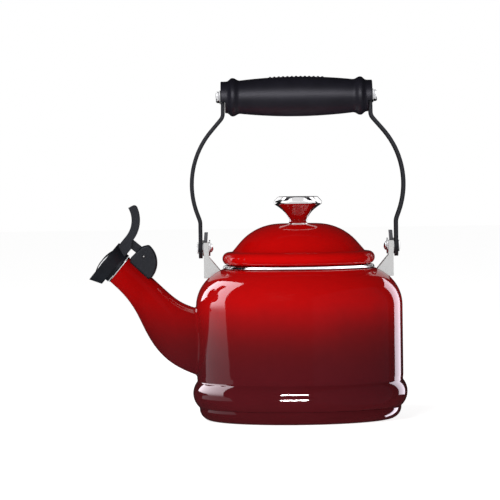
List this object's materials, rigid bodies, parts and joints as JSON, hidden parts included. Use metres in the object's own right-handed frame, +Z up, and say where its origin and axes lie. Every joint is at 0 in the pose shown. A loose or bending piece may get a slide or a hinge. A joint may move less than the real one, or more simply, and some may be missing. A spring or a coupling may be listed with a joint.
{
  "type": "stovetop whistling kettle",
  "caption": "Enamelled drum kettle with a lift-off domed lid, a swinging strip bail with a moulded grip, a curved side spout and a flip-up whistle cap.",
  "frame": {"origin": "centre of the base's flat underside, on the body's axis", "axes": "+Z up along the body's axis, -X towards the spout, +Y across the bail's plane"},
  "size_m": [0.1999, 0.1352, 0.2162],
  "materials": {
    "enamel": "gloss enamel, bright red above, dark red below",
    "bright_steel": "polished stainless steel",
    "satin_steel": "satin stainless steel",
    "polished_knob": "polished",
    "black_coating": "semi-gloss black coating",
    "black_phenolic": "matte, finely pebbled"
  },
  "bodies": {
    "kettle": {"body_shell": "enamel", "base_pan": "enamel", "rim_band": "bright_steel", "spout": "enamel", "spout_rim": "bright_steel", "hinge_saddle": "black_phenolic", "hinge_pin": "bright_steel", "saddle_screw": "bright_steel", "ear_spout_side": "satin_steel", "pivot_rivet_spout_side": "bright_steel", "pivot_washer_spout_side": "bright_steel", "pivot_spacer_spout_side": "bright_steel", "backing_washer_spout_side": "bright_steel", "ear_back": "satin_steel", "pivot_rivet_back": "bright_steel", "pivot_washer_back": "bright_steel", "pivot_spacer_back": "bright_steel", "backing_washer_back": "bright_steel"},
    "bail": {"grip": "black_phenolic", "grip_rod": "bright_steel", "bail_arm_spout_side": "black_coating", "grip_washer_spout_side": "bright_steel", "grip_screw_spout_side": "bright_steel", "bail_arm_back": "black_coating", "grip_washer_back": "bright_steel", "grip_screw_back": "bright_steel"},
    "lid": {"lid_shell": "enamel", "lid_locating_ring": "bright_steel", "knob": "polished_knob", "knob_screw": "bright_steel", "knob_washer": "bright_steel"},
    "whistle": {"whistle_cap": "black_phenolic", "whistle_front_disc": "bright_steel", "whistle_back_disc": "bright_steel"}
  },
  "joints": [
    {"name": "bail_swing", "type": "hinge", "parent": "kettle", "child": "bail", "pos_m": [0, 0, 0.1085], "axis": [1, 0, 0], "range_deg": [-110, 110]},
    {"name": "lid_lift", "type": "slide", "parent": "kettle", "child": "lid", "axis": [0, 0, 1], "range_m": [0, 0.045]},
    {"name": "whistle_flip", "type": "hinge", "parent": "kettle", "child": "whistle", "pos_m": [-0.09738, 0, 0.10392], "axis": [0, 1, 0], "range_deg": [0, 75]}
  ]
}
